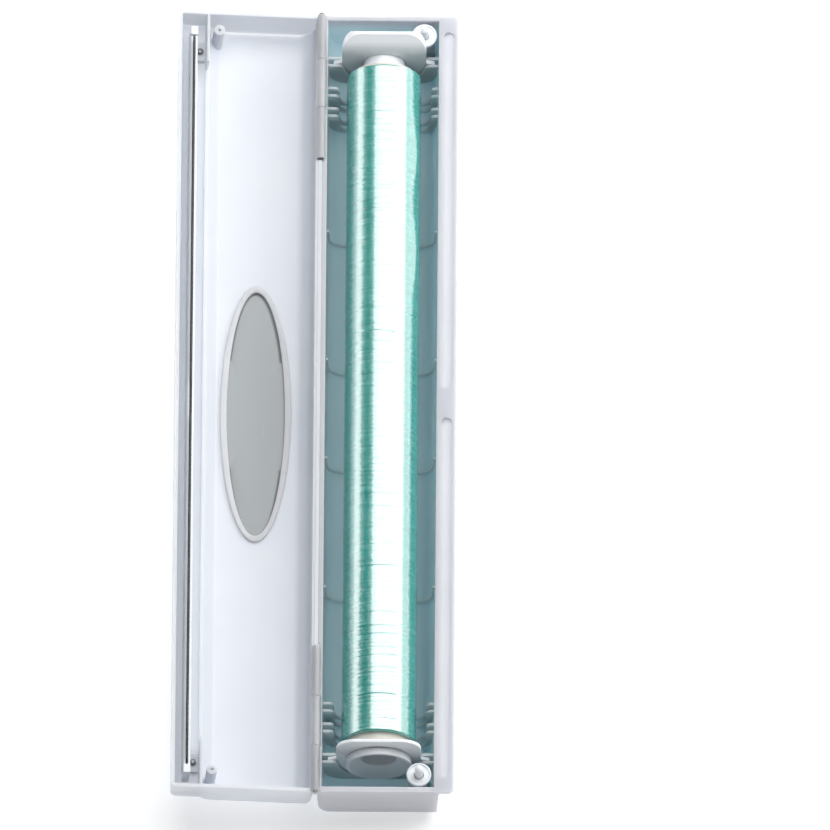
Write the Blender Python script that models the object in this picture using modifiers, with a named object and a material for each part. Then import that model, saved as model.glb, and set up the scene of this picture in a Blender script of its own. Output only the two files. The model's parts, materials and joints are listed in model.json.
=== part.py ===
"""Cling film dispenser: a long plastic trough with a hinged lid.

The film roll sits on two end plates that drop into slots in the trough. The lid carries a
toothed cutter. It comes to rest on two sprung pins, and pressing it down against them puts
the cutter into the grooves of the front ledge.

Row frame: +Z up, +Y along the length (far end), +X toward the ledge. The origin is the
centre of the underside of the trough. Dimensions are in millimetres unless said otherwise.
"""

import math

import bmesh
import bpy
from mathutils import Matrix, Vector

MM = 0.001
GAP = 0.3  # between pieces that touch or slide

# Trough
HALF_LENGTH = 192.0
RIM_Z = 29.0
BACK_X = -28.5
FRONT_X = 27.0
SIDE_DRAFT = 1.0
END_DRAFT = 0.9
BASE_WALL = 2.4
BACK_WALL = 2.2
HEEL_RADIUS = 11.5
TOE_RADIUS = 4.5
CAVITY_RADIUS = 10.0
END_RADIUS = 4.0
PLAN_RADIUS = 3.0

# Front ledge and the two grooves the cutter enters
LEDGE_X = 33.7
LEDGE_THICK = 3.0
GROOVE_X = 29.2
GROOVE_WIDTH = 4.8
GROOVE_DEPTH = 1.8
GROOVE_INNER_Y = 7.7
GROOVE_OUTER_Y = 184.0

# Slots for the end plates, one pair of ribs each, and the low ribs across the floor
SLOTS = (172.4, 157.4, 147.3)
SLOT_GAP = 2.4
RIB_THICK = 1.2
RIB_TOP = 21.5
BULKHEAD_OPENING = 18.5
RIB_OPENING = 21.0
FLOOR_RIBS = (24.3, 88.0)
FLOOR_RIB_HEIGHT = 1.4
FLOOR_RIB_THICK = 1.0

# Sprung pins at the front corners
POST_X = 17.8
POST_Y = 182.9
HOUSING_RADIUS = 4.8
HOUSING_BORE = 3.7
HOUSING_TOP = 26.2
HOUSING_FLOOR = 4.0
CAP_RADIUS = 5.7
CAP_BOTTOM = 26.5
CAP_TOP = 28.0
PIN_RADIUS = 1.95
PIN_TOP = 35.3
FLANGE_RADIUS = 3.3
FLANGE_TOP = 26.0
FLANGE_BOTTOM = 24.4
STEM_RADIUS = 1.2
STEM_BOTTOM = 12.0
COIL_RADIUS = 2.4
WIRE_RADIUS = 0.35
COIL_TURNS = 7

# Hinge
HINGE_X = -29.0
HINGE_Z = RIM_Z
KNUCKLE_RADIUS = 2.0
KNUCKLE_BORE = 1.3
HINGE_PIN_RADIUS = 1.0
KNUCKLE_EDGES = (192.0, 169.8, 145.5, 120.3)
KNUCKLE_CLEARANCE = 2.35
OPEN_ANGLE = 175.0  # between the shut lid and the lid at rest

# Lid, drawn shut: u runs forward from the hinge axis, w up from the rim
LID_BACK = 0.65
LID_REACH = 65.3
LID_RIM = 0.3
LID_HEIGHT = 20.0
LID_FRONT_HEIGHT = 14.0
LID_WALL = 1.5
STEP_START = 46.0
STEP_END = 51.4
LID_BACK_RADIUS = 9.0
LID_FRONT_RADIUS = 4.0
DIVIDER_U = 51.2
DIVIDER_THICK = 1.2
DIVIDER_TAB = 24.0
LID_POST_U = 46.8
LID_POST_RADIUS = 2.5
LID_POST_HOLE = 0.7

# Window
WINDOW_U = 27.3
WINDOW_HALF_U = 14.0
WINDOW_HALF_Y = 61.0
BEZEL_WIDTH = 2.2
BEZEL_THICK = 1.2

# Cutter and its holder
BLADE_U = 58.2
BLADE_THICK = 0.6
BLADE_HALF = 178.7
BLADE_TIP = -1.2
BLADE_BACK = 8.2
TOOTH_PITCH = 2.5
TOOTH_DEPTH = 1.3
BLADE_RELIEF = 9.5
HOLDER_WIDTH = 3.4
HOLDER_HALF = 180.2
HOLDER_TIP = 2.0
FOOT_LENGTH = 9.0
FOOT_CENTRE = 176.0
SCREW_U = 54.9

# Roll, its hubs and end plates
ROLL_X = -0.5
ROLL_Z = 22.0
FILM_RADIUS = 17.1
FILM_NEAR = -165.8
FILM_FAR = 163.6
CORE_RADIUS = 14.3
CORE_BORE = 12.5
CORE_NEAR = -170.5
CORE_FAR = 165.5
PLATE_THICK = 1.8
PLATE_HALF = 19.2
PLATE_TAB_HALF = 23.2
PLATE_TOP = 42.0
PLATE_HOLE = 9.8
LIP_START = 8.5  # the far plate's top curves outward, heights from the roll's axis
LIP_LENGTH = 12.0
LIP_RADIUS = 9.0
LIP_ANGLE = 55.0
HUB_NECK = 9.5
# Each hub's cup: radius, start and end from the plate's centre
HUB_CUPS = {"far": (11.0, 1.6, 3.2), "near": (15.0, 1.2, 4.4)}
HUB_BORE = 8.0
HUB_FIN = 12.2

ENDS = (("far", 1), ("near", -1))


def clear_scene():
    for obj in list(bpy.data.objects):
        bpy.data.objects.remove(obj, do_unlink=True)


def collection(name, parent=None):
    made = bpy.data.collections.new(name)
    (parent or bpy.context.scene.collection).children.link(made)
    return made


def plastic(name, colour, roughness, metallic=0.0, alpha=1.0):
    made = bpy.data.materials.new(name)
    made.use_nodes = True
    shader = made.node_tree.nodes["Principled BSDF"]
    shader.inputs["Base Color"].default_value = (*colour, 1.0)
    shader.inputs["Roughness"].default_value = roughness
    shader.inputs["Metallic"].default_value = metallic
    shader.inputs["Alpha"].default_value = alpha
    made.diffuse_color = (*colour, alpha)
    return made


def rounded(corners, step=12.0):
    """The outline through these (a, b, radius) corners, each rounded to its radius."""
    points = []
    count = len(corners)
    for i, (a, b, radius) in enumerate(corners):
        corner = Vector((a, b))
        if radius <= 0:
            points.append(corner)
            continue
        before = (Vector(corners[i - 1][:2]) - corner).normalized()
        after = (Vector(corners[(i + 1) % count][:2]) - corner).normalized()
        inside = before.angle(after)
        turn = math.pi - inside
        reach = radius / math.tan(inside / 2)
        centre = corner + (before + after).normalized() * radius / math.sin(inside / 2)
        start = corner + before * reach - centre
        finish = corner + after * reach - centre
        side = 1.0 if start.x * finish.y - start.y * finish.x > 0 else -1.0
        pieces = max(2, round(math.degrees(turn) / step))
        for k in range(pieces + 1):
            angle = side * turn * k / pieces
            cosine, sine = math.cos(angle), math.sin(angle)
            arm = Vector((start.x * cosine - start.y * sine, start.x * sine + start.y * cosine))
            points.append(centre + arm)
    return points


def mesh_of(obj):
    """The evaluated shape of a helper object as a closed mesh of its own."""
    bpy.context.scene.collection.objects.link(obj)
    graph = bpy.context.evaluated_depsgraph_get()
    mesh = bpy.data.meshes.new_from_object(obj.evaluated_get(graph))
    data = obj.data
    bpy.data.objects.remove(obj, do_unlink=True)
    if isinstance(data, bpy.types.Curve):
        bpy.data.curves.remove(data)
    return mesh


def tidy(mesh, matrix=None):
    shape = bmesh.new()
    shape.from_mesh(mesh)
    if matrix is not None:
        shape.transform(matrix)
    bmesh.ops.remove_doubles(shape, verts=shape.verts, dist=1e-6)
    bmesh.ops.recalc_face_normals(shape, faces=shape.faces)
    shape.to_mesh(mesh)
    shape.free()
    return mesh


AXES = {
    "X": Matrix(((0, 0, 1, 0), (1, 0, 0, 0), (0, 1, 0, 0), (0, 0, 0, 1))),
    "Y": Matrix(((1, 0, 0, 0), (0, 0, 1, 0), (0, 1, 0, 0), (0, 0, 0, 1))),
    "Z": Matrix.Identity(4),
}


def prism(outline, low, high, axis="Y"):
    """The outline, drawn across the axis, filled and run from low to high along it."""
    curve = bpy.data.curves.new("outline", "CURVE")
    curve.dimensions = "2D"
    curve.fill_mode = "BOTH"
    curve.extrude = (high - low) / 2 * MM
    spline = curve.splines.new("POLY")
    spline.points.add(len(outline) - 1)
    for point, (a, b) in zip(spline.points, outline):
        point.co = (a * MM, b * MM, 0, 1)
    spline.use_cyclic_u = True
    mesh = mesh_of(bpy.data.objects.new("outline", curve))
    shift = Vector((0, 0, (low + high) / 2 * MM))
    return tidy(mesh, AXES[axis] @ Matrix.Translation(shift))


def box(x, y, z):
    """A box between (low, high) along each axis."""
    mesh = bpy.data.meshes.new("box")
    shape = bmesh.new()
    bmesh.ops.create_cube(shape, size=1)
    size = Matrix.Diagonal([(high - low) * MM for low, high in (x, y, z)] + [1])
    centre = Matrix.Translation([(high + low) / 2 * MM for low, high in (x, y, z)])
    shape.transform(centre @ size)
    shape.to_mesh(mesh)
    shape.free()
    return mesh


def rod(radius, low, high, axis="Z", at=(0, 0, 0), segments=24, turn=0.0):
    """A cylinder from low to high along the axis through a point, turned by a share of one of its sides."""
    mesh = bpy.data.meshes.new("rod")
    shape = bmesh.new()
    bmesh.ops.create_cone(
        shape,
        cap_ends=True,
        segments=segments,
        radius1=radius * MM,
        radius2=radius * MM,
        depth=(high - low) * MM,
    )
    shape.transform(Matrix.Rotation(turn * math.tau / segments, 4, "Z"))
    shape.transform(Matrix.Translation((0, 0, (low + high) / 2 * MM)))
    shape.transform(AXES[axis])
    shape.transform(Matrix.Translation(Vector(at) * MM))
    bmesh.ops.recalc_face_normals(shape, faces=shape.faces)
    shape.to_mesh(mesh)
    shape.free()
    return mesh


def lathe(profile, closed, steps=24, axis="Z"):
    """The (radius, height) profile turned about the axis."""
    mesh = bpy.data.meshes.new("profile")
    points = [(radius * MM, 0, height * MM) for radius, height in profile]
    edges = [(i, i + 1) for i in range(len(points) - 1)]
    if closed:
        edges.append((len(points) - 1, 0))
    mesh.from_pydata(points, edges, [])
    obj = bpy.data.objects.new("profile", mesh)
    screw = obj.modifiers.new("turn", "SCREW")
    screw.axis = "Z"
    screw.angle = math.tau
    screw.steps = steps
    screw.render_steps = steps
    screw.use_merge_vertices = True
    screw.merge_threshold = 0.00001
    return tidy(mesh_of(obj), AXES[axis])


def ring(radius, bore, low, high, axis="Y", steps=24):
    return lathe([(radius, high), (radius, low), (bore, low), (bore, high)], True, steps, axis)


def helper(group, name, mesh, parent=None):
    """A cutter or an added shape that a Boolean uses."""
    obj = bpy.data.objects.new(name, mesh)
    obj.display_type = "WIRE"
    obj.hide_render = True
    obj.parent = parent
    group.objects.link(obj)
    return obj


def boolean(obj, operation, other):
    """Adds a Boolean with one object, or with every object of a collection."""
    modifier = obj.modifiers.new(operation.lower(), "BOOLEAN")
    modifier.operation = operation
    modifier.solver = "EXACT"
    if isinstance(other, bpy.types.Collection):
        modifier.operand_type = "COLLECTION"
        modifier.collection = other
    else:
        modifier.object = other


def part(group, name, mesh, material, parent=None, at=(0, 0, 0), smooth=None):
    """A named piece of the dispenser. Its origin is at its parent, or at a point in mm."""
    obj = bpy.data.objects.new(name, mesh)
    mesh.name = name
    mesh.materials.clear()
    mesh.materials.append(material)
    obj.parent = parent
    obj.location = Vector(at) * MM
    if smooth is not None:
        mesh.shade_smooth()
        mesh.set_sharp_from_angle(angle=math.radians(smooth))
    group.objects.link(obj)
    return obj


def empty(group, name, at, turn=0.0):
    obj = bpy.data.objects.new(name, None)
    obj.location = Vector(at) * MM
    obj.rotation_euler = (0, math.radians(turn), 0)
    group.objects.link(obj)
    return obj


def trough_outline(inset, radius, top):
    """The trough's cross-section without the ledge, moved inward by the inset."""
    back, front = BACK_X + inset + BACK_WALL - BASE_WALL, FRONT_X - inset
    return rounded(
        [
            (back, top, 0),
            (back + SIDE_DRAFT, inset, radius),
            (front - SIDE_DRAFT, inset, radius),
            (front, top, 0),
        ]
    )


def u_rib(opening, bottom, radius, centre=0.0, shoulder=2.0):
    """A rib across the trough with a U-shaped opening. It runs on into the wall."""
    back, front = BACK_X + BACK_WALL / 2, FRONT_X - BASE_WALL / 2
    return rounded(
        [
            (back, RIB_TOP, 0),
            (back + SIDE_DRAFT, BASE_WALL / 2, CAVITY_RADIUS - 1.5),
            (front - SIDE_DRAFT, BASE_WALL / 2, CAVITY_RADIUS - 1.5),
            (front, RIB_TOP, 0),
            (centre + opening, RIB_TOP, shoulder),
            (centre + opening - 0.4, bottom, radius),
            (centre - opening + 0.4, bottom, radius),
            (centre - opening, RIB_TOP, shoulder),
        ],
        22,
    )


def build_trough(parts, helpers, material):
    outline = rounded(
        [
            (BACK_X, RIM_Z, 0),
            (BACK_X + SIDE_DRAFT, 0, HEEL_RADIUS),
            (FRONT_X - SIDE_DRAFT, 0, TOE_RADIUS),
            (FRONT_X - 0.1, RIM_Z - LEDGE_THICK, 0.8),
            (LEDGE_X, RIM_Z - LEDGE_THICK, 1.0),
            (LEDGE_X, RIM_Z, 0.8),
        ]
    )
    shell = part(parts, "base_shell", prism(outline, -HALF_LENGTH - 2, HALF_LENGTH + 2), material, smooth=35)
    low, high = HALF_LENGTH - END_DRAFT, HALF_LENGTH + 0.1
    ends = rounded([(-high, RIM_Z + 3, 0), (-low, 0, END_RADIUS), (low, 0, END_RADIUS), (high, RIM_Z + 3, 0)])
    boolean(shell, "INTERSECT", helper(helpers, "base_ends", prism(ends, -60, 60, "X")))
    plan = rounded(
        [
            (BACK_X - 0.5, -HALF_LENGTH, PLAN_RADIUS),
            (LEDGE_X + 0.02, -HALF_LENGTH, PLAN_RADIUS),
            (LEDGE_X + 0.02, HALF_LENGTH, PLAN_RADIUS),
            (BACK_X - 0.5, HALF_LENGTH, PLAN_RADIUS),
        ]
    )
    boolean(shell, "INTERSECT", helper(helpers, "base_plan", prism(plan, -5, RIM_Z + 5, "Z")))

    cavity = helper(
        helpers,
        "base_cavity",
        prism(trough_outline(BASE_WALL, CAVITY_RADIUS, RIM_Z + 2), -HALF_LENGTH, HALF_LENGTH),
    )
    low, high = HALF_LENGTH - END_DRAFT - BASE_WALL, HALF_LENGTH - BASE_WALL + 0.2
    inner = rounded([(-high, RIM_Z + 4, 0), (-low, 1, 5), (low, 1, 5), (high, RIM_Z + 4, 0)])
    boolean(cavity, "INTERSECT", helper(helpers, "cavity_ends", prism(inner, -50, 50, "X")))
    boolean(shell, "DIFFERENCE", cavity)

    added = collection("base_added", helpers)
    for _, side in ENDS:
        for slot in SLOTS:
            for step in (-1, 1):
                centre = side * slot + step * (SLOT_GAP + RIB_THICK) / 2
                if slot == SLOTS[0]:
                    outline = u_rib(BULKHEAD_OPENING, 6.0, 13.0, ROLL_X)
                else:
                    outline = u_rib(RIB_OPENING, BASE_WALL - 0.5, 9.0)
                helper(added, "slot_rib", prism(outline, centre - RIB_THICK / 2, centre + RIB_THICK / 2))
        for y in FLOOR_RIBS:
            back, front = BACK_X + BACK_WALL + FLOOR_RIB_HEIGHT, FRONT_X - BASE_WALL - FLOOR_RIB_HEIGHT
            half, centre = (front - back) / 2, (front + back) / 2
            outline = u_rib(half, BASE_WALL + FLOOR_RIB_HEIGHT, CAVITY_RADIUS - 1, centre, 0.4)
            low, high = side * y - FLOOR_RIB_THICK / 2, side * y + FLOOR_RIB_THICK / 2
            helper(added, "floor_rib", prism(outline, low, high))
        helper(added, "housing", rod(HOUSING_RADIUS, 2.0, HOUSING_TOP, at=(POST_X, side * POST_Y, 0)))
        for outer, nearer in ((0, 1), (2, 3)):
            ends = sorted((side * KNUCKLE_EDGES[outer], side * (KNUCKLE_EDGES[nearer] + GAP)))
            helper(added, "knuckle", rod(KNUCKLE_RADIUS, *ends, "Y", (HINGE_X, 0, HINGE_Z), 20))
            span = (ends[0] + 0.1, ends[1] - 0.1)
            web = box((HINGE_X, BACK_X + 0.9), span, (HINGE_Z - 1.9, HINGE_Z - 0.35))
            helper(added, "knuckle_web", web)
    boolean(shell, "UNION", added)

    cut = collection("base_cut", helpers)
    for _, side in ENDS:
        ends = sorted((side * (KNUCKLE_EDGES[1] + GAP), side * KNUCKLE_EDGES[2]))
        helper(cut, "knuckle_room", rod(KNUCKLE_CLEARANCE, *ends, "Y", (HINGE_X, 0, HINGE_Z), 20))
        for outer, nearer in ((0, 1), (2, 3)):
            ends = sorted((side * (KNUCKLE_EDGES[outer] + 1), side * (KNUCKLE_EDGES[nearer] - 1)))
            helper(cut, "pin_bore", rod(KNUCKLE_BORE, *ends, "Y", (HINGE_X, 0, HINGE_Z), 12, 0.5))
        bore = rod(HOUSING_BORE, HOUSING_FLOOR, HOUSING_TOP + 1, at=(POST_X, side * POST_Y, 0))
        helper(cut, "housing_bore", bore)
        near, far = sorted((side * GROOVE_INNER_Y, side * GROOVE_OUTER_Y))
        half = GROOVE_WIDTH / 2
        groove = rounded(
            [
                (GROOVE_X - half, near, half - 0.1),
                (GROOVE_X + half, near, half - 0.1),
                (GROOVE_X + half, far, half - 0.1),
                (GROOVE_X - half, far, half - 0.1),
            ]
        )
        helper(cut, "groove", prism(groove, RIM_Z - GROOVE_DEPTH, RIM_Z + 1, "Z"))
    boolean(shell, "DIFFERENCE", cut)


def build_sprung_pins(parts, plastic_cap, metal):
    for end, side in ENDS:
        at = (POST_X, side * POST_Y, 0)
        cap = [
            (CAP_RADIUS, CAP_TOP),
            (CAP_RADIUS, CAP_BOTTOM),
            (PIN_RADIUS + GAP, CAP_BOTTOM),
            (PIN_RADIUS + GAP, CAP_TOP - 0.6),
            (CAP_RADIUS - 1.0, CAP_TOP - 0.6),
            (CAP_RADIUS - 1.0, CAP_TOP),
        ]
        part(parts, f"spring_cap_{end}", lathe(cap, True, 32), plastic_cap, at=at, smooth=40)
        pin = [
            (0, PIN_TOP),
            (PIN_RADIUS * 0.55, PIN_TOP - 0.15),
            (PIN_RADIUS, PIN_TOP - 0.8),
            (PIN_RADIUS, FLANGE_TOP),
            (FLANGE_RADIUS, FLANGE_TOP),
            (FLANGE_RADIUS, FLANGE_BOTTOM),
            (STEM_RADIUS, FLANGE_BOTTOM),
            (STEM_RADIUS, STEM_BOTTOM),
            (0, STEM_BOTTOM),
        ]
        part(parts, f"plunger_{end}", lathe(pin, False, 20), plastic_cap, at=at, smooth=40)
        part(parts, f"spring_{end}", coil(), metal, at=at, smooth=60)


def coil():
    """A compression spring from the floor of its housing to the flange of the pin."""
    low = HOUSING_FLOOR + GAP + WIRE_RADIUS
    high = FLANGE_BOTTOM - GAP - WIRE_RADIUS
    per_turn = 10
    curve = bpy.data.curves.new("coil", "CURVE")
    curve.dimensions = "3D"
    curve.bevel_depth = WIRE_RADIUS * MM
    curve.bevel_resolution = 2
    curve.use_fill_caps = True
    spline = curve.splines.new("POLY")
    count = COIL_TURNS * per_turn
    spline.points.add(count)
    for i, point in enumerate(spline.points):
        angle = math.tau * i / per_turn
        height = low + (high - low) * i / count
        point.co = (COIL_RADIUS * math.cos(angle) * MM, COIL_RADIUS * math.sin(angle) * MM, height * MM, 1)
    return tidy(mesh_of(bpy.data.objects.new("coil", curve)))


def build_hinge_pins(parts, metal):
    for end, side in ENDS:
        outer, inner = KNUCKLE_EDGES[0], KNUCKLE_EDGES[3]
        profile = [
            (0, outer + 1.6),
            (1.1, outer + 1.3),
            (1.7, outer + 0.7),
            (1.7, outer + GAP),
            (HINGE_PIN_RADIUS, outer + GAP),
            (HINGE_PIN_RADIUS, inner + 1.0),
            (0, inner + 1.0),
        ]
        mesh = lathe([(radius, side * y) for radius, y in profile], False, 16, "Y")
        part(parts, f"hinge_pin_{end}", mesh, metal, at=(HINGE_X, 0, HINGE_Z), smooth=40)


def lid_outline(inset, rim):
    """The lid's cross-section (u, w), moved inward by the inset, open at the rim."""
    slope = math.atan2(LID_HEIGHT - LID_FRONT_HEIGHT, STEP_END - STEP_START)
    shift = inset * math.tan(slope / 2)
    return rounded(
        [
            (LID_BACK + inset, rim, 0),
            (LID_BACK + 0.5 + inset, LID_HEIGHT - inset, LID_BACK_RADIUS - inset),
            (STEP_START - shift, LID_HEIGHT - inset, 3.5 - inset),
            (STEP_END - shift, LID_FRONT_HEIGHT - inset, 2.5 + inset),
            (LID_REACH - 0.3 - inset, LID_FRONT_HEIGHT - inset, LID_FRONT_RADIUS - 0.7 * inset),
            (LID_REACH - inset, rim, 0),
        ]
    )


def ellipse(half_u, half_y, count=48):
    turns = [math.tau * i / count for i in range(count)]
    return [(WINDOW_U + half_u * math.cos(t), half_y * math.sin(t)) for t in turns]


def build_lid(parts, helpers, frame, material):
    solid = prism(lid_outline(0, LID_RIM), -HALF_LENGTH - 2, HALF_LENGTH + 2)
    shell = part(parts, "lid_shell", solid, material, frame, smooth=35)
    low, high = HALF_LENGTH - 0.8, HALF_LENGTH
    ends = rounded([(-high, -1, 0), (-low, LID_HEIGHT, 4), (low, LID_HEIGHT, 4), (high, -1, 0)])
    boolean(shell, "INTERSECT", helper(helpers, "lid_ends", prism(ends, -10, 90, "X"), frame))
    plan = rounded(
        [
            (LID_BACK - 0.5, -HALF_LENGTH - 0.05, PLAN_RADIUS),
            (LID_REACH + 0.02, -HALF_LENGTH - 0.05, PLAN_RADIUS),
            (LID_REACH + 0.02, HALF_LENGTH + 0.05, PLAN_RADIUS),
            (LID_BACK - 0.5, HALF_LENGTH + 0.05, PLAN_RADIUS),
        ]
    )
    boolean(shell, "INTERSECT", helper(helpers, "lid_plan", prism(plan, -5, LID_HEIGHT + 5, "Z"), frame))

    cavity = helper(helpers, "lid_cavity", prism(lid_outline(LID_WALL, -2), -HALF_LENGTH, HALF_LENGTH), frame)
    low, high = HALF_LENGTH - 0.8 - LID_WALL, HALF_LENGTH - LID_WALL
    inner = rounded([(-high, -3, 0), (-low, LID_HEIGHT + 1, 4), (low, LID_HEIGHT + 1, 4), (high, -3, 0)])
    boolean(cavity, "INTERSECT", helper(helpers, "lid_cavity_ends", prism(inner, -10, 90, "X"), frame))
    boolean(shell, "DIFFERENCE", cavity)

    inside = prism(lid_outline(LID_WALL / 2, LID_RIM), -HALF_LENGTH + 0.8, HALF_LENGTH - 0.8)
    middle = helper(helpers, "lid_mid_wall", inside, frame)
    added = collection("lid_added", helpers)
    floor = LID_FRONT_HEIGHT - LID_WALL
    across = (DIVIDER_U, DIVIDER_U + DIVIDER_THICK)
    helper(added, "divider", box(across, (-HALF_LENGTH, HALF_LENGTH), (floor - 3.0, floor + 0.8)), frame)
    for _, side in ENDS:
        tab = sorted((side * (HALF_LENGTH - 0.9), side * (HALF_LENGTH - DIVIDER_TAB - 1)))
        helper(added, "divider_tab", box(across, tab, (LID_RIM, floor + 0.8)), frame)
        post = rod(LID_POST_RADIUS, LID_RIM, LID_HEIGHT, at=(LID_POST_U, side * POST_Y, 0))
        helper(added, "lid_post", post, frame)
        ends = sorted((side * KNUCKLE_EDGES[1], side * (KNUCKLE_EDGES[2] + GAP)))
        helper(added, "lid_knuckle", rod(KNUCKLE_RADIUS, *ends, "Y", segments=20), frame)
        web = box((0, LID_BACK + 0.8), (ends[0] + 0.1, ends[1] - 0.1), (0.35, 1.9))
        helper(added, "lid_knuckle_web", web, frame)
    for obj in added.objects:
        if not obj.name.startswith("lid_knuckle"):
            boolean(obj, "INTERSECT", middle)
    boolean(shell, "UNION", added)

    cut = collection("lid_cut", helpers)
    for _, side in ENDS:
        rooms = (
            (KNUCKLE_EDGES[0] + 1, KNUCKLE_EDGES[1]),
            (KNUCKLE_EDGES[2] + GAP, KNUCKLE_EDGES[3] - GAP),
        )
        for outer, nearer in rooms:
            ends = sorted((side * outer, side * nearer))
            helper(cut, "lid_knuckle_room", rod(KNUCKLE_CLEARANCE, *ends, "Y", segments=20), frame)
        ends = sorted((side * (KNUCKLE_EDGES[1] + 1), side * (KNUCKLE_EDGES[2] - 1)))
        helper(cut, "lid_pin_bore", rod(KNUCKLE_BORE, *ends, "Y", segments=12), frame)
        hole = rod(LID_POST_HOLE, LID_RIM - 1, 8, at=(LID_POST_U, side * POST_Y, 0), segments=12)
        helper(cut, "post_hole", hole, frame)
        pilot = rod(0.9, floor - 0.6, floor + 0.9, at=(SCREW_U, side * FOOT_CENTRE, 0), segments=12)
        helper(cut, "screw_pilot", pilot, frame)
    opening = prism(ellipse(WINDOW_HALF_U + GAP, WINDOW_HALF_Y + GAP), LID_HEIGHT - 4, LID_HEIGHT + 2, "Z")
    helper(cut, "window_opening", opening, frame)
    boolean(shell, "DIFFERENCE", cut)


def build_window(parts, helpers, frame, glazing, material):
    pane = prism(ellipse(WINDOW_HALF_U, WINDOW_HALF_Y), LID_HEIGHT - 1.2, LID_HEIGHT, "Z")
    part(parts, "window_pane", pane, glazing, frame)
    top = LID_HEIGHT - LID_WALL - GAP
    outer = ellipse(WINDOW_HALF_U + BEZEL_WIDTH, WINDOW_HALF_Y + BEZEL_WIDTH)
    bezel = part(parts, "window_bezel", prism(outer, top - BEZEL_THICK, top, "Z"), material, frame)
    hole = prism(ellipse(WINDOW_HALF_U - 0.8, WINDOW_HALF_Y - 0.8), top - 4, top + 2, "Z")
    boolean(bezel, "DIFFERENCE", helper(helpers, "bezel_hole", hole, frame))


def blade_edge():
    """The (y, w) outline of the toothed strip, pointed at the far end."""
    teeth = int(2 * BLADE_HALF / TOOTH_PITCH)
    start = -teeth * TOOTH_PITCH / 2
    points = [(-BLADE_HALF, BLADE_BACK)]
    for i in range(teeth + 1):
        y = start + i * TOOTH_PITCH
        relief = 1.9 if abs(y) < BLADE_RELIEF else 0.0
        points.append((y, BLADE_TIP + TOOTH_DEPTH + relief))
        if i < teeth:
            middle = y + TOOTH_PITCH / 2
            drop = 1.9 if abs(middle) < BLADE_RELIEF else 0.0
            points.append((middle, BLADE_TIP + drop))
    points.append((BLADE_HALF, BLADE_BACK - 4.0))
    points.append((BLADE_HALF - 3.0, BLADE_BACK))
    return points


def build_cutter(parts, helpers, frame, steel, material):
    half = BLADE_THICK / 2
    part(parts, "cutter_blade", prism(blade_edge(), BLADE_U - half, BLADE_U + half, "X"), steel, frame)

    back = LID_FRONT_HEIGHT - LID_WALL - GAP
    side = HOLDER_WIDTH / 2
    ridge = rounded(
        [
            (BLADE_U - side, back, 0),
            (BLADE_U - side, HOLDER_TIP, 1.0),
            (BLADE_U + side, HOLDER_TIP, 1.0),
            (BLADE_U + side, back, 0),
        ]
    )
    holder = part(parts, "blade_holder", prism(ridge, -HOLDER_HALF, HOLDER_HALF), material, frame, smooth=40)
    feet = collection("holder_feet", helpers)
    holes = collection("holder_cut", helpers)
    across = (BLADE_U - half - GAP, BLADE_U + half + GAP)
    slot = box(across, (-HOLDER_HALF - 1, HOLDER_HALF + 1), (0, BLADE_BACK + GAP))
    helper(holes, "blade_slot", slot, frame)
    for end, way in ENDS:
        span = (way * FOOT_CENTRE - FOOT_LENGTH / 2, way * FOOT_CENTRE + FOOT_LENGTH / 2)
        helper(feet, "foot", box((SCREW_U - 2.2, BLADE_U - side + 0.5), span, (back - 1.5, back)), frame)
        hole = rod(0.9, back - 3, back + 1, at=(SCREW_U, way * FOOT_CENTRE, 0), segments=12)
        helper(holes, "screw_hole", hole, frame)
        screw = [
            (0, back - 3.0),
            (1.0, back - 2.9),
            (1.5, back - 2.4),
            (1.5, back - 1.5 - GAP),
            (0.6, back - 1.5 - GAP),
            (0.6, back + 0.9),
            (0, back + 0.9),
        ]
        mesh = lathe(screw, False, 16)
        mesh.transform(Matrix.Translation(Vector((SCREW_U, way * FOOT_CENTRE, 0)) * MM))
        part(parts, f"holder_screw_{end}", mesh, steel, frame, smooth=40)
        near, far = sorted((way * (HOLDER_HALF + GAP), way * (HOLDER_HALF + 4.5)))
        clip = rounded(
            [
                (BLADE_U - 1.6, near, 0.6),
                (BLADE_U + 1.6, near, 0.6),
                (BLADE_U + 1.6, far, 0.6),
                (BLADE_U - 1.6, far, 0.6),
            ]
        )
        part(parts, f"blade_end_clip_{end}", prism(clip, 1.0, back, "Z"), material, frame)
    boolean(holder, "UNION", feet)
    boolean(holder, "DIFFERENCE", holes)


def lip_height(height):
    """How high a point of the far plate stands once its top is curved outward."""
    along = height - LIP_START
    turn = math.radians(LIP_ANGLE)
    if along <= 0:
        return height
    if along <= LIP_RADIUS * turn:
        return LIP_START + LIP_RADIUS * math.sin(along / LIP_RADIUS)
    return LIP_START + LIP_RADIUS * math.sin(turn) + (along - LIP_RADIUS * turn) * math.cos(turn)


def lip_section(centre):
    """The far plate's section (y, height): flat, then an arc outward, then straight to its edge."""
    turn = math.radians(LIP_ANGLE)
    middle = centre - PLATE_THICK / 2 + LIP_RADIUS
    rest = LIP_LENGTH + 1 - LIP_RADIUS * turn
    faces = []
    for radius in (LIP_RADIUS, LIP_RADIUS - PLATE_THICK):
        face = [(middle - radius, -ROLL_Z)]
        for i in range(11):
            angle = turn * i / 10
            face.append((middle - radius * math.cos(angle), LIP_START + radius * math.sin(angle)))
        y, height = face[-1]
        face.append((y + rest * math.sin(turn), height + rest * math.cos(turn)))
        faces.append(face)
    return faces[0] + faces[1][::-1]


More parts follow.
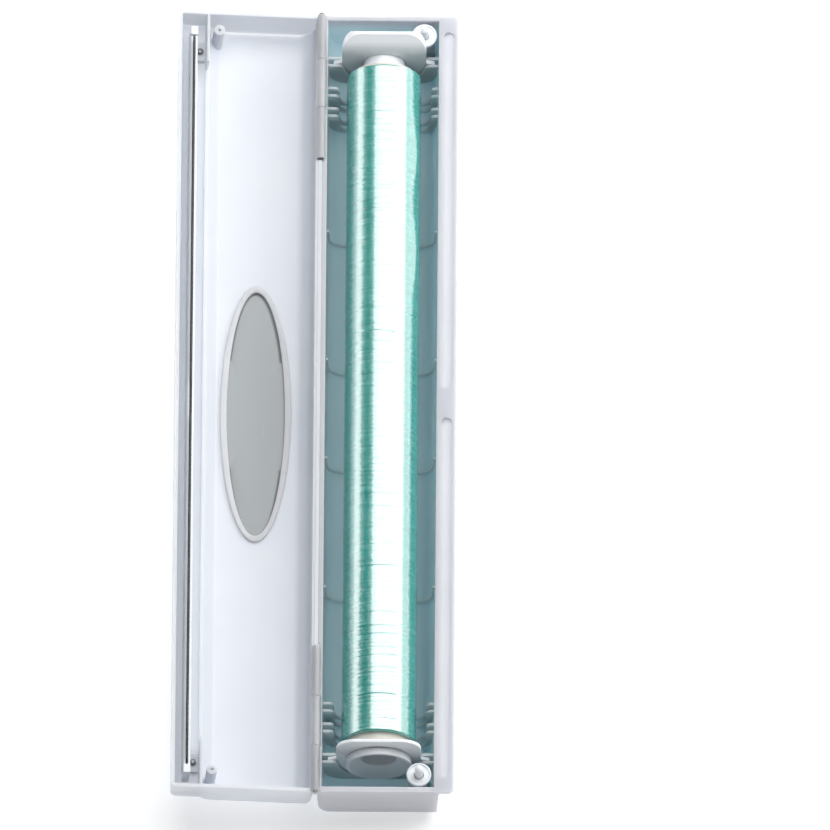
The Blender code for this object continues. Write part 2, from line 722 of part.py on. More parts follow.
def build_roll(parts, helpers, carrier, spindle, material, paper, film):
    plate = [
        (-PLATE_HALF, PLATE_TOP, 9),
        (-PLATE_HALF, RIB_TOP + 0.6, 0.5),
        (-PLATE_TAB_HALF, RIB_TOP - 1.0, 0.8),
        (-PLATE_TAB_HALF, 13.0, 4),
        (-15.0, BASE_WALL + GAP, 6),
        (15.0, BASE_WALL + GAP, 6),
        (PLATE_TAB_HALF, 13.0, 4),
        (PLATE_TAB_HALF, RIB_TOP - 1.0, 0.8),
        (PLATE_HALF, RIB_TOP + 0.6, 0.5),
        (PLATE_HALF, PLATE_TOP, 9),
    ]
    for end, side in ENDS:
        centre = side * SLOTS[0]
        low, high = centre - PLATE_THICK / 2, centre + PLATE_THICK / 2
        if end == "far":
            top = ROLL_Z + LIP_START + LIP_LENGTH
            taller = [(x, top if z == PLATE_TOP else z, radius) for x, z, radius in plate]
            outline = rounded([(x, z - ROLL_Z, radius) for x, z, radius in taller], 10)
            outline = [(x, lip_height(z)) for x, z in outline]
            section = prism(lip_section(centre), -30, 30, "X")
            made = part(parts, f"end_plate_{end}", section, material, carrier, smooth=40)
            face = helper(helpers, "plate_outline", prism(outline, centre - 20, centre + 20), carrier)
            boolean(made, "INTERSECT", face)
        else:
            outline = rounded([(x, z - ROLL_Z, radius) for x, z, radius in plate], 15)
            made = part(parts, f"end_plate_{end}", prism(outline, low, high), material, carrier, smooth=40)
        hole = rod(PLATE_HOLE, centre - 4, centre + 4, "Y", segments=32)
        boolean(made, "DIFFERENCE", helper(helpers, "plate_hole", hole, carrier))

        cup, start, finish = HUB_CUPS[end]
        profile = [
            (cup, finish),
            (cup, start),
            (HUB_NECK, start),
            (HUB_NECK, -16.0),
            (HUB_BORE, -16.0),
            (HUB_BORE, 0.6),
            (cup - 1.4, finish),
        ]
        mesh = lathe([(radius, centre + side * s) for radius, s in profile], True, 32, "Y")
        hub = part(parts, f"hub_{end}", mesh, material, spindle, smooth=40)
        fins = collection(f"hub_fins_{end}", helpers)
        span = sorted((centre - side * 8.0, centre - side * 15.5))
        for sign in (-1, 1):
            reach = sorted((sign * (HUB_BORE + 0.7), sign * HUB_FIN))
            helper(fins, "fin", box(reach, span, (-0.6, 0.6)), spindle)
            helper(fins, "fin", box((-0.6, 0.6), span, reach), spindle)
        boolean(hub, "UNION", fins)
    tube = ring(CORE_RADIUS, CORE_BORE, CORE_NEAR, CORE_FAR, steps=48)
    part(parts, "core_tube", tube, paper, spindle, smooth=40)
    wound = ring(FILM_RADIUS, CORE_RADIUS + GAP, FILM_NEAR, FILM_FAR, steps=64)
    part(parts, "film_roll", wound, film, spindle, smooth=40)


def main():
    clear_scene()
    parts = collection("cling_film_dispenser")
    helpers = collection("cutters")
    helpers.hide_render = True

    white = plastic("white_plastic", (0.86, 0.88, 0.92), 0.38)
    ivory = plastic("ivory_plastic", (0.84, 0.85, 0.86), 0.35)
    smoke = plastic("window_plastic", (0.52, 0.54, 0.55), 0.12, alpha=0.6)
    steel = plastic("blade_steel", (0.36, 0.36, 0.38), 0.3, metallic=1.0)
    wire = plastic("spring_steel", (0.55, 0.55, 0.57), 0.28, metallic=1.0)
    paper = plastic("core_board", (0.78, 0.73, 0.62), 0.85)
    film = plastic("green_film", (0.18, 0.62, 0.52), 0.14)

    lid_frame = empty(parts, "lid_frame", (HINGE_X, 0, HINGE_Z), -OPEN_ANGLE)
    carrier = empty(parts, "carrier_frame", (ROLL_X, 0, ROLL_Z))
    spindle = empty(parts, "roll_frame", (ROLL_X, 0, ROLL_Z))

    build_trough(parts, helpers, white)
    build_sprung_pins(parts, ivory, wire)
    build_hinge_pins(parts, wire)
    build_lid(parts, helpers, lid_frame, white)
    build_window(parts, helpers, lid_frame, smoke, ivory)
    build_cutter(parts, helpers, lid_frame, steel, ivory)
    build_roll(parts, helpers, carrier, spindle, white, paper, film)


main()
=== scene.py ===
"""The looks of the cling film dispenser: fine meshes, materials, soft studio light and the camera."""

import json
import math

import bmesh
import bpy
import numpy as np
from mathutils import Matrix, Vector


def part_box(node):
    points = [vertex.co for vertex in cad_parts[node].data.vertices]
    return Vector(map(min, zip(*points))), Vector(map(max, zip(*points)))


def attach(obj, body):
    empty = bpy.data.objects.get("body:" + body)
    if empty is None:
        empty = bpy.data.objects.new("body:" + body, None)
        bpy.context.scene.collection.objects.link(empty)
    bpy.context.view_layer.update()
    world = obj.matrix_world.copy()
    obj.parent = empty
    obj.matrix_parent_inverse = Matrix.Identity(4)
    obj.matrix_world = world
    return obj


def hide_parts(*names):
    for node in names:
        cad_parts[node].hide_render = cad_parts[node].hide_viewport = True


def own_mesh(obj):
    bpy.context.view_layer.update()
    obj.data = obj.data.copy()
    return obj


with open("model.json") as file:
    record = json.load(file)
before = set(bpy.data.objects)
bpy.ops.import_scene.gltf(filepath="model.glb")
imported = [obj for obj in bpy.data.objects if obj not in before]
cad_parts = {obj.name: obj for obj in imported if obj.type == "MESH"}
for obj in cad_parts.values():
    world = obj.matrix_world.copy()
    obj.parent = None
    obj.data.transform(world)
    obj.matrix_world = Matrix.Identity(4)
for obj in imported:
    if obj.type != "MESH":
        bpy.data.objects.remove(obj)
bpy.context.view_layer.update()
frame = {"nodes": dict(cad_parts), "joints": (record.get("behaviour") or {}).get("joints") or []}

MM = 0.001
NODES = frame["nodes"]
JOINTS = {joint["name"]: joint for joint in frame["joints"]}
ENDS = ("far", "near")

# The lid's pieces are drawn shut, u forward from the hinge and w up from the rim, then swung open.
OPEN_ANGLE = JOINTS["lid_hinge"]["range_deg"][1] + JOINTS["press_stroke"]["range_deg"][1]
HINGE = Vector(JOINTS["lid_hinge"]["pos_m"])
LID = Matrix.Translation(HINGE) @ Matrix.Rotation(math.radians(-OPEN_ANGLE), 4, "Y")
ROLL_AXIS = Vector(JOINTS["roll_spin"]["pos_m"])

# The window on the shut lid: the middle and the half axes of its oval, its upper face and its thickness
WINDOW_U = 27.3 * MM
WINDOW_HALF_U = 14.0 * MM
WINDOW_HALF_Y = 61.0 * MM
WINDOW_TOP = 20.0 * MM
WINDOW_THICK = 1.2 * MM

PIN_RADIUS = 1.95 * MM
CORE_BORE_RADIUS = 12.5 * MM
GAP = 0.3 * MM

# The springs' wire and coil; the steps are in each turn
WIRE_RADIUS = 0.35 * MM
WIRE_SIDES = 12
COIL_TURNS = 7
COIL_STEPS = 36

# The inside of the trough in metres: along each axis, where its painted green bounce light starts and where
# it is full.
TROUGH_INSIDE = (
    ("X", -0.0270, -0.0267),
    ("X", 0.0262, 0.0257),
    ("Y", -0.1908, -0.1904),
    ("Y", 0.1908, 0.1904),
    ("Z", 0.0270, 0.0200),
    ("Z", 0.0010, 0.0020),
)

# The camera, in metres and degrees
CAMERA_DISTANCE = 15.0
CAMERA_ELEVATION = 66.6
CAMERA_AZIMUTH = 0.4
SEEN_WIDTH = 0.377
CAMERA_TARGET = (0.0148, -0.0064, 0.029)
SENSOR_WIDTH = 36


# ---------------------------------------------------------------- materials


def shader(name, **values):
    """A material with one Principled shader, its plain sockets set."""
    material = bpy.data.materials.new(name)
    material.use_nodes = True
    tree = material.node_tree
    principled = tree.nodes["Principled BSDF"]
    for socket, value in values.items():
        principled.inputs[socket.replace("_", " ")].default_value = value
    return material, tree, principled


def add(tree, kind, **settings):
    node = tree.nodes.new(kind)
    for name, value in settings.items():
        if hasattr(node, name):
            setattr(node, name, value)
        else:
            node.inputs[name.replace("_", " ")].default_value = value
    return node


def noise(tree, scale, detail=4.0, roughness=0.55, stretch=(1, 1, 1), distortion=0.0):
    """Noise in object space. The scale is in features per metre."""
    place = add(tree, "ShaderNodeTexCoord")
    mapping = add(tree, "ShaderNodeMapping")
    mapping.inputs["Scale"].default_value = stretch
    tree.links.new(place.outputs["Object"], mapping.inputs["Vector"])
    texture = add(tree, "ShaderNodeTexNoise")
    texture.inputs["Scale"].default_value = scale
    texture.inputs["Detail"].default_value = detail
    texture.inputs["Roughness"].default_value = roughness
    texture.inputs["Distortion"].default_value = distortion
    tree.links.new(mapping.outputs["Vector"], texture.inputs["Vector"])
    return texture.outputs["Fac"]


def ramp(tree, source, stops):
    """The source through a colour ramp of (position, colour) stops."""
    node = add(tree, "ShaderNodeValToRGB")
    elements = node.color_ramp.elements
    while len(elements) < len(stops):
        elements.new(0.5)
    for element, (position, colour) in zip(elements, stops):
        element.position = position
        element.color = (*colour, 1.0)
    tree.links.new(source, node.inputs["Fac"])
    return node.outputs["Color"]


def between(tree, source, low, high, start=0.3, end=0.7):
    """The source spread over the values from low to high."""
    node = add(tree, "ShaderNodeMapRange")
    node.inputs["From Min"].default_value = start
    node.inputs["From Max"].default_value = end
    node.inputs["To Min"].default_value = low
    node.inputs["To Max"].default_value = high
    tree.links.new(source, node.inputs["Value"])
    return node.outputs["Result"]


def bump(tree, principled, heights):
    """Stacks (source, strength, distance) heights into the shader's normal."""
    normal = None
    for source, strength, distance in heights:
        node = add(tree, "ShaderNodeBump")
        node.inputs["Strength"].default_value = strength
        node.inputs["Distance"].default_value = distance
        tree.links.new(source, node.inputs["Height"])
        if normal is not None:
            tree.links.new(normal, node.inputs["Normal"])
        normal = node.outputs["Normal"]
    tree.links.new(normal, principled.inputs["Normal"])


def mixed(tree, first, second, factor, blend="MIX"):
    """Two colours mixed, or the first multiplied by the second."""
    node = add(tree, "ShaderNodeMix", data_type="RGBA", blend_type=blend)
    node.inputs["Factor"].default_value = factor
    tree.links.new(first, node.inputs["A"])
    tree.links.new(second, node.inputs["B"])
    return node.outputs["Result"]


def moulded(name, low, high, roughness=(0.3, 0.42), coat=0.15, depth=1.0):
    """Moulded plastic that light soaks into: faintly cloudy, with a satin grain and slight sink waves."""
    material, tree, principled = shader(
        name,
        IOR=1.5,
        Coat_Weight=coat,
        Coat_Roughness=0.18,
        Subsurface_Weight=depth,
        Subsurface_Scale=0.006,
        Subsurface_Radius=(1.0, 1.0, 1.0),
    )
    tone = noise(tree, 22, 3)
    tree.links.new(ramp(tree, tone, ((0.3, low), (0.7, high))), principled.inputs["Base Color"])
    tree.links.new(between(tree, noise(tree, 60, 5), *roughness), principled.inputs["Roughness"])
    grain = noise(tree, 5200, 2, 0.6)
    sinks = noise(tree, 26, 2, 0.4, (1, 0.35, 1))
    bump(tree, principled, ((sinks, 0.25, 0.0006), (grain, 0.12, 0.00004)))
    return material


def painted_green_bounce(material, bounce_tint):
    """Paints green bounce light on the inside of the trough: the plastic there is lightened and greened as
    if lit by the film above it.
    """
    tree = material.node_tree
    principled = tree.nodes["Principled BSDF"]
    colour = principled.inputs["Base Color"].links[0].from_socket
    place = add(tree, "ShaderNodeTexCoord")
    apart = add(tree, "ShaderNodeSeparateXYZ")
    tree.links.new(place.outputs["Object"], apart.inputs["Vector"])
    inside = None
    for axis, start, end in TROUGH_INSIDE:
        share = between(tree, apart.outputs[axis], 0.0, 1.0, start, end)
        if inside is not None:
            product = add(tree, "ShaderNodeMath", operation="MULTIPLY")
            tree.links.new(inside, product.inputs[0])
            tree.links.new(share, product.inputs[1])
            share = product.outputs["Value"]
        inside = share
    # Painted green bounce light: the inside's base colour is multiplied by the given tint, brighter and
    # greener than the plastic.
    mix = add(tree, "ShaderNodeMix", data_type="RGBA", blend_type="MULTIPLY")
    tree.links.new(inside, mix.inputs["Factor"])
    tree.links.new(colour, mix.inputs["A"])
    mix.inputs["B"].default_value = (*bounce_tint, 1.0)
    tree.links.new(mix.outputs["Result"], principled.inputs["Base Color"])


def shade_painted_window():
    """See-through styrene with hairline scratches. Its grey colour with a soft gradient is painted shade:
    the shaded floor under the open lid, seen through the pane.
    """
    material, tree, principled = shader("window_pane_look", IOR=1.58, Coat_Weight=0.6, Coat_Roughness=0.08)
    shade_cloud = noise(tree, 9, 2, 0.4, (1, 0.5, 1))
    # Painted shade: the grey stands in for the shaded floor seen through the pane.
    colour = ramp(tree, shade_cloud, ((0.25, (0.27, 0.30, 0.31)), (0.75, (0.36, 0.39, 0.40))))
    tree.links.new(colour, principled.inputs["Base Color"])
    scratches = noise(tree, 900, 3, 0.7, (1, 0.06, 1), 0.6)
    tree.links.new(between(tree, scratches, 0.14, 0.3, 0.5, 0.75), principled.inputs["Roughness"])
    principled.inputs["Alpha"].default_value = 0.88
    bump(tree, principled, ((noise(tree, 40, 2), 0.2, 0.0003), (scratches, 0.05, 0.00003)))
    return material


def metal(name, dark, light, roughness, stretch, scale=1800):
    """Drawn or rolled steel with fine lines along its length."""
    material, tree, principled = shader(name, Metallic=1.0)
    lines = noise(tree, scale, 4, 0.65, stretch)
    stain = noise(tree, 70, 3)
    tree.links.new(ramp(tree, stain, ((0.3, dark), (0.75, light))), principled.inputs["Base Color"])
    tree.links.new(between(tree, lines, *roughness), principled.inputs["Roughness"])
    bump(tree, principled, ((lines, 0.3, 0.00002),))
    return material


def card():
    """Pale wound board: darker fibres over soft blotches."""
    material, tree, principled = shader("core_board_look", IOR=1.45)
    fibre = noise(tree, 2600, 5, 0.7, (1, 0.25, 1))
    blotch = noise(tree, 180, 3)
    board = ramp(tree, blotch, ((0.3, (0.74, 0.70, 0.63)), (0.7, (0.86, 0.83, 0.78))))
    shade = ramp(tree, fibre, ((0.3, (0.78, 0.75, 0.70)), (0.7, (1, 1, 1))))
    tree.links.new(mixed(tree, board, shade, 0.6, "MULTIPLY"), principled.inputs["Base Color"])
    tree.links.new(between(tree, fibre, 0.75, 0.95), principled.inputs["Roughness"])
    bump(tree, principled, ((fibre, 0.5, 0.00008),))
    return material


def wound_film_look():
    """Many layers of stretched green film: circumferential lines, paler where air lies between layers."""
    material, tree, principled = shader(
        "green_film_look", IOR=3.3, Coat_Weight=1.0, Coat_Roughness=0.05, Coat_IOR=1.9
    )
    lines = noise(tree, 34, 6, 0.7, (1.2, 42, 1.2), 0.25)
    fine = noise(tree, 60, 5, 0.75, (1.0, 70, 1.0), 0.15)
    patches = noise(tree, 34, 3, 0.6, (1.6, 0.5, 1.6), 0.4)
    deep, teal = (0.0, 0.20, 0.165), (0.0, 0.36, 0.30)
    mint, pale = (0.02, 0.50, 0.43), (0.16, 0.66, 0.58)
    layered = ramp(tree, lines, ((0.28, deep), (0.45, teal), (0.58, mint), (0.78, pale)))
    airy = ramp(tree, patches, ((0.35, teal), (0.7, (0.05, 0.50, 0.43))))
    tree.links.new(mixed(tree, layered, airy, 0.45), principled.inputs["Base Color"])
    tree.links.new(between(tree, fine, 0.04, 0.11), principled.inputs["Roughness"])
    creases = noise(tree, 170, 4, 0.7, (1, 5, 1), 0.5)
    bump(tree, principled, ((creases, 0.5, 0.0002), (lines, 0.4, 0.0003), (fine, 0.3, 0.0001)))
    return material


# ---------------------------------------------------------------- shapes


def piece(name, mesh, material, body, replaced, smooth=40):
    """A finished piece on its body, standing for a CAD node."""
    obj = bpy.data.objects.new(name, mesh)
    bpy.context.scene.collection.objects.link(obj)
    mesh.materials.clear()
    mesh.materials.append(material)
    mesh.shade_smooth()
    mesh.set_sharp_from_angle(angle=math.radians(smooth))
    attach(obj, body)
    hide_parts(*replaced)
    return obj


def soften(obj, width, segments=2, angle=32):
    """Clears the facets of an object's flat faces, rounds its sharp edges and evens its shading."""
    weld = obj.modifiers.new("weld", "WELD")
    weld.merge_threshold = 0.000002
    flat = obj.modifiers.new("flat_faces", "DECIMATE")
    flat.decimate_type = "DISSOLVE"
    flat.angle_limit = math.radians(0.4)
    if width:
        rounding = obj.modifiers.new("rounding", "BEVEL")
        rounding.limit_method = "ANGLE"
        rounding.angle_limit = math.radians(angle)
        rounding.width = width
        rounding.segments = segments
        rounding.use_clamp_overlap = True
    shading = obj.modifiers.new("even_shading", "WEIGHTED_NORMAL")
    shading.weight = 100
    shading.thresh = 0.02


def keep(node, material, width=0.0, segments=2):
    """A CAD node that stays, with its own finish and rounded edges."""
    obj = NODES[node]
    obj.data.materials.clear()
    obj.data.materials.append(material)
    obj.data.shade_smooth()
    soften(obj, width, segments)
    return obj


def grid_mesh(name, points, closed_rows=False):
    """A quad mesh from an array of rings, each closed on itself. Closed rows join the last to the first."""
    rows, around = points.shape[:2]
    index = np.arange(rows * around).reshape(rows, around)
    low, high = index[:-1], index[1:]
    if closed_rows:
        low, high = index, np.roll(index, -1, axis=0)
    across = np.roll(low, -1, axis=1), np.roll(high, -1, axis=1)
    faces = np.stack([low, across[0], across[1], high], axis=-1).reshape(-1, 4)
    mesh = bpy.data.meshes.new(name)
    mesh.from_pydata(points.reshape(-1, 3).tolist(), [], faces.tolist())
    mesh.update()
    shape = bmesh.new()
    shape.from_mesh(mesh)
    bmesh.ops.remove_doubles(shape, verts=shape.verts, dist=0.0000001)
    bmesh.ops.recalc_face_normals(shape, faces=shape.faces)
    shape.to_mesh(mesh)
    shape.free()
    return mesh


def turned(name, profile, centre, axis="Z", steps=96):
    """A closed (radius, height) profile turned about an axis through a point; all in metres."""
    turns = np.linspace(0, math.tau, steps, endpoint=False)
    radius, height = np.array(profile, float).T
    ring = np.stack([np.cos(turns), np.sin(turns)], axis=-1)
    flat = radius[:, None, None] * ring[None]
    tall = np.repeat(height[:, None, None], steps, axis=1)
    if axis == "Z":
        points = np.concatenate([flat, tall], axis=-1)
    else:
        points = np.concatenate([flat[..., :1], tall, flat[..., 1:]], axis=-1)
    points = points + np.array(centre)
    return grid_mesh(name, points, closed_rows=True)


def eased(corners, step=18.0):
    """The closed outline through (a, b, radius) corners, each rounded to its radius."""
    points = []
    for i, (a, b, radius) in enumerate(corners):
        corner = Vector((a, b))
        if radius <= 0:
            points.append(corner)
            continue
        before = (Vector(corners[i - 1][:2]) - corner).normalized()
        after = (Vector(corners[(i + 1) % len(corners)][:2]) - corner).normalized()
        inside = before.angle(after)
        turn = math.pi - inside
        centre = corner + (before + after).normalized() * radius / math.sin(inside / 2)
        start = corner + before * radius / math.tan(inside / 2) - centre
        finish = corner + after * radius / math.tan(inside / 2) - centre
        side = 1.0 if start.x * finish.y - start.y * finish.x > 0 else -1.0
        count = max(2, round(math.degrees(turn) / step))
        for k in range(count + 1):
            angle = side * turn * k / count
            cosine, sine = math.cos(angle), math.sin(angle)
            arm = Vector((start.x * cosine - start.y * sine, start.x * sine + start.y * cosine))
            points.append(centre + arm)
    return points


# ---------------------------------------------------------------- the pieces


def build_shells(white, bright, trough):
    keep("base_shell", trough, 0.35 * MM)
    keep("lid_shell", white, 0.35 * MM)
    for end in ENDS:
        keep(f"end_plate_{end}", bright, 0.4 * MM)
        keep(f"blade_end_clip_{end}", bright, 0.2 * MM)
    keep("blade_holder", bright, 0.25 * MM)


def oval(half_u, half_y, w, count=160):
    turns = np.linspace(0, math.tau, count, endpoint=False)
    u = WINDOW_U + half_u * np.cos(turns)
    y = half_y * np.sin(turns)
    return np.stack([u, y, np.full(count, w)], axis=-1)


def build_window(pane_look, ivory):
    rings = []
    for share, depth in (
        (0.0, WINDOW_THICK),
        (0.5, WINDOW_THICK),
        (0.985, WINDOW_THICK),
        (1.0, WINDOW_THICK - 0.2 * MM),
        (1.0, 0.2 * MM),
        (0.985, 0.0),
        (0.5, 0.0),
        (0.0, 0.0),
    ):
        rings.append(oval(WINDOW_HALF_U * share, WINDOW_HALF_Y * share, WINDOW_TOP - depth))
    mesh = grid_mesh("window_pane_fine", np.array(rings))
    mesh.transform(LID)
    piece("window_pane_fine", mesh, pane_look, "lid", ["window_pane"])

    section = eased([(-0.8, 17.0, 0.45), (2.2, 17.0, 0.45), (2.2, 18.2, 0.2), (-0.8, 18.2, 0.2)])
    rings = []
    for offset, w in section:
        rings.append(oval(WINDOW_HALF_U + offset * MM, WINDOW_HALF_Y + offset * MM, w * MM, 200))
    mesh = grid_mesh("window_bezel_fine", np.array(rings), closed_rows=True)
    mesh.transform(LID)
    piece("window_bezel_fine", mesh, ivory, "lid", ["window_bezel"], 60)


def build_cutter(steel):
    keep("cutter_blade", steel, 0.08 * MM, 1)
    for end in ENDS:
        keep(f"holder_screw_{end}", steel, 0.12 * MM)


def build_hinge_pins(wire):
    for end in ENDS:
        keep(f"hinge_pin_{end}", wire, 0.15 * MM)


def build_spring(end, wire):
    """A coil with flat-lying end turns."""
    low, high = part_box(f"spring_{end}")
    centre = (low + high) / 2
    coil_radius = (high.x - low.x) / 2 - WIRE_RADIUS
    share = np.linspace(0, 1, COIL_TURNS * COIL_STEPS + 1)
    angle = share * COIL_TURNS * math.tau
    rise = np.clip((share - 0.1) / 0.8, 0, 1) * 0.9 + share * 0.1
    height = low.z + WIRE_RADIUS + (high.z - low.z - 2 * WIRE_RADIUS) * rise
    out = np.stack([np.cos(angle), np.sin(angle), 0 * angle], axis=-1)
    line = np.array([centre.x, centre.y, 0]) + coil_radius * out
    line[:, 2] = height
    across = np.linspace(0, math.tau, WIRE_SIDES, endpoint=False)[None, :, None]
    rings = WIRE_RADIUS * (np.cos(across) * out[:, None] + np.sin(across) * np.array([0, 0, 1]))
    points = line[:, None] + rings
    # Each end is closed by a ring drawn together on the wire's middle, with a full ring beside it.
    start = [np.tile(line[:1], (1, WIRE_SIDES, 1)), line[:1, None] + rings[1:2]]
    finish = [line[-1:, None] + rings[-2:-1], np.tile(line[-1:], (1, WIRE_SIDES, 1))]
    mesh = grid_mesh(f"spring_fine_{end}", np.concatenate([*start, points[1:-1], *finish]))
    obj = piece(f"spring_fine_{end}", mesh, wire, "base", [f"spring_{end}"])
    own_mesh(obj)


def build_sprung_pins(bright, wire):
    for end in ENDS:
        low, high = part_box(f"spring_cap_{end}")
        centre = (low + high) / 2
        middle = (centre.x, centre.y, 0)
        radius = (high.x - low.x) / 2
        hole = PIN_RADIUS + GAP
        profile = eased(
            [
                (radius, high.z, 0.5 * MM),
                (radius, low.z, 0.1 * MM),
                (hole, low.z, 0.1 * MM),
                (hole, high.z - 0.6 * MM, 0.15 * MM),
                (radius - 1.2 * MM, high.z - 0.6 * MM, 0.2 * MM),
                (radius - 0.9 * MM, high.z, 0.3 * MM),
            ]
        )
        mesh = turned(f"spring_cap_fine_{end}", [tuple(p) for p in profile], middle)
        piece(f"spring_cap_fine_{end}", mesh, bright, "base", [f"spring_cap_{end}"])
        keep(f"plunger_{end}", bright, 0.2 * MM, 3)
        build_spring(end, wire)


def build_hubs(bright):
    for end in ENDS:
        keep(f"hub_{end}", bright, 0.35 * MM, 3)


def build_core(board):
    low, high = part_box("core_tube")
    radius = (high.z - low.z) / 2
    profile = eased(
        [
            (radius, high.y, 0.15 * MM),
            (radius, low.y, 0.15 * MM),
            (CORE_BORE_RADIUS, low.y, 0.15 * MM),
            (CORE_BORE_RADIUS, high.y, 0.15 * MM),
        ]
    )
    mesh = turned("core_tube_fine", [tuple(p) for p in profile], (ROLL_AXIS.x, 0, ROLL_AXIS.z), "Y", 128)
    piece("core_tube_fine", mesh, board, "roll", ["core_tube"])


def waves(values, random, shortest, longest, count):
    """A smooth random height along some values, from sines between two wavelengths."""
    total = np.zeros_like(values)
    for _ in range(count):
        length = shortest * (longest / shortest) ** random.random()
        total += np.sin(values * math.tau / length + random.random() * math.tau)
    return total / math.sqrt(count)


def build_film(film_look):
    """The wound film: fine ridges round the roll, with slanting pulls and a slack outer lap."""
    random = np.random.default_rng(7)
    low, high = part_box("film_roll")
    radius = (high.z - low.z) / 2
    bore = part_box("core_tube")[1].z - ROLL_AXIS.z + GAP
    around, rows = 168, 900
    turns = np.linspace(0, math.tau, around, endpoint=False)[None, :]
    along = np.linspace(low.y, high.y, rows)[:, None]
    lean = along + 0.9 * MM * np.sin(turns + 0.6) + 0.5 * MM * np.sin(2 * turns + along / (38 * MM))
    ridges = waves(lean, random, 0.9 * MM, 3.5 * MM, 24)
    pulls = waves(along + 5 * MM * np.sin(turns * 0.5 + 1.0), random, 3 * MM, 14 * MM, 16)
    swell = waves(along + 0 * turns, random, 28 * MM, 110 * MM, 8)
    skin = radius - 0.17 * MM + 0.035 * MM * ridges + 0.045 * MM * pulls + 0.05 * MM * swell
    skin = np.minimum(skin, radius)

    # The outer lap lifts a little where it ends, along the front side toward the far end.
    share = (along - low.y) / (high.y - low.y)
    facing = np.cos(turns - 0.42)
    lifted = np.clip((facing - 0.955) / 0.045, 0, 1) ** 2
    where = np.clip((share - 0.55) / 0.2, 0, 1) * np.clip((0.97 - share) / 0.1, 0, 1)
    skin = skin + 0.9 * MM * lifted * where * (0.6 + 0.4 * np.sin(along / (9 * MM)))

    def ring(radii, y):
        x = ROLL_AXIS.x + radii * np.cos(turns[0])
        z = ROLL_AXIS.z + radii * np.sin(turns[0])
        return np.stack([x, np.full(around, y), z], axis=-1)

    rings = []
    steps = np.linspace(0, 1, 9)
    for s in steps:
        layered = 0.12 * MM * math.sin(s * 40)
        rings.append(ring(bore + (skin[0] - 0.5 * MM - bore) * s, low.y + 0.15 * MM + abs(layered)))
    rings.append(ring(skin[0] - 0.2 * MM, low.y + 0.12 * MM))
    for i in range(1, rows - 1):
        rings.append(ring(skin[i], along[i, 0]))
    rings.append(ring(skin[-1] - 0.2 * MM, high.y - 0.12 * MM))
    for s in steps[::-1]:
        layered = 0.12 * MM * math.sin(s * 40)
        rings.append(ring(bore + (skin[-1] - 0.5 * MM - bore) * s, high.y - 0.15 * MM - abs(layered)))
    mesh = grid_mesh("film_roll_fine", np.array(rings), closed_rows=True)
    piece("film_roll_fine", mesh, film_look, "roll", ["film_roll"], 50)


# ---------------------------------------------------------------- floor, light and camera


def build_stage():
    mesh = bpy.data.meshes.new("floor")
    shape = bmesh.new()
    bmesh.ops.create_grid(shape, x_segments=1, y_segments=1, size=6.0)
    shape.to_mesh(mesh)
    shape.free()
    floor = bpy.data.objects.new("floor", mesh)
    bpy.context.scene.collection.objects.link(floor)
    floor.location.z = -0.0005
    material, tree, principled = shader(
        "floor_look", Roughness=0.9, Emission_Color=(1, 1, 1, 1), Emission_Strength=0.4
    )
    tone = ramp(tree, noise(tree, 1.5, 2), ((0.3, (0.95, 0.95, 0.95)), (0.7, (0.97, 0.97, 0.97))))
    tree.links.new(tone, principled.inputs["Base Color"])
    mesh.materials.append(material)


def softbox(name, place, target, across, along, radiance):
    """A soft light that faces the target. Its long side lies along Y, as the roll does."""
    light = bpy.data.lights.new(name, "AREA")
    light.shape = "RECTANGLE"
    light.size, light.size_y = across, along
    light.energy = radiance * math.pi * across * along
    back = (Vector(place) - Vector(target)).normalized()
    length = Vector((0, 1, 0))
    length = (length - back * length.dot(back)).normalized()
    turn = Matrix((length.cross(back), length, back)).transposed()
    obj = bpy.data.objects.new(name, light)
    obj.matrix_world = Matrix.Translation(place) @ turn.to_4x4()
    bpy.context.scene.collection.objects.link(obj)


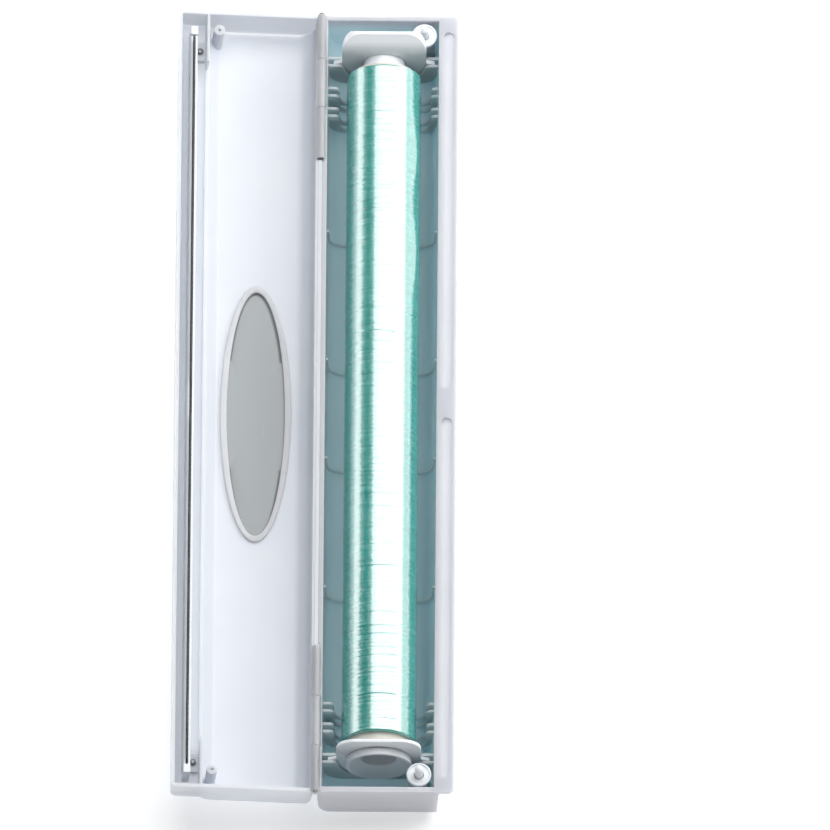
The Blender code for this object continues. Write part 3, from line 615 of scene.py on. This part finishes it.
def build_light():
    world = bpy.data.worlds.new("studio")
    world.use_nodes = True
    background = world.node_tree.nodes["Background"]
    background.inputs["Color"].default_value = (0.93, 0.95, 1.0, 1)
    background.inputs["Strength"].default_value = 0.07
    bpy.context.scene.world = world
    roll = (0, 0.05, 0.02)
    softbox("key", (0.27, 0.52, 1.2), roll, 1.9, 1.1, 2.9)
    softbox("left_card", (-1.25, 0.5, 0.29), roll, 0.54, 1.6, 2.3)
    softbox("right_strip", (1.04, 0.46, 0.60), roll, 0.36, 1.5, 4.0)
    softbox("right_card", (1.3, 0.5, 0.33), roll, 0.6, 1.6, 1.3)
    softbox("front_fill", (0.0, -1.2, 0.8), (0, 0, 0.02), 1.4, 0.8, 0.6)


def build_camera():
    scene = bpy.context.scene
    data = bpy.data.cameras.new("camera")
    camera = bpy.data.objects.new("camera", data)
    scene.collection.objects.link(camera)
    elevation, azimuth = math.radians(CAMERA_ELEVATION), math.radians(CAMERA_AZIMUTH)
    level = math.cos(elevation)
    back = Vector((math.sin(azimuth) * level, -math.cos(azimuth) * level, math.sin(elevation)))
    data.sensor_width = SENSOR_WIDTH
    data.lens = SENSOR_WIDTH * CAMERA_DISTANCE / SEEN_WIDTH
    data.clip_start, data.clip_end = 1.0, 50.0
    camera.location = Vector(CAMERA_TARGET) + back * CAMERA_DISTANCE
    camera.rotation_mode = "QUATERNION"
    camera.rotation_quaternion = (-back).to_track_quat("-Z", "Y")
    scene.camera = camera
    scene.view_settings.view_transform = "Standard"


def main():
    white = moulded("white_plastic_look", (0.63, 0.66, 0.72), (0.66, 0.69, 0.745))
    ivory = moulded("ivory_plastic_look", (0.74, 0.765, 0.82), (0.77, 0.795, 0.85), (0.26, 0.36), 0.25)
    bright = moulded("bright_plastic_look", (0.88, 0.92, 0.96), (0.90, 0.94, 0.97), (0.28, 0.38), 0.15, 0.0)
    steel = metal("blade_steel_look", (0.20, 0.20, 0.22), (0.34, 0.34, 0.36), (0.25, 0.45), (1, 0.04, 1))
    wire = metal("spring_steel_look", (0.45, 0.45, 0.47), (0.6, 0.6, 0.62), (0.2, 0.35), (1, 1, 0.2))

    trough = moulded("trough_plastic_look", (0.53, 0.54, 0.585), (0.555, 0.565, 0.605))
    # Painted green bounce light from the film on the trough's inside.
    painted_green_bounce(trough, (1.06, 1.28, 1.26))
    build_shells(white, bright, trough)
    # The window pane's grey is painted shade of the floor beneath it.
    build_window(shade_painted_window(), ivory)
    build_cutter(steel)
    build_hinge_pins(wire)
    build_sprung_pins(bright, wire)
    build_hubs(bright)
    build_core(card())
    build_film(wound_film_look())
    build_stage()
    build_light()
    build_camera()


main()
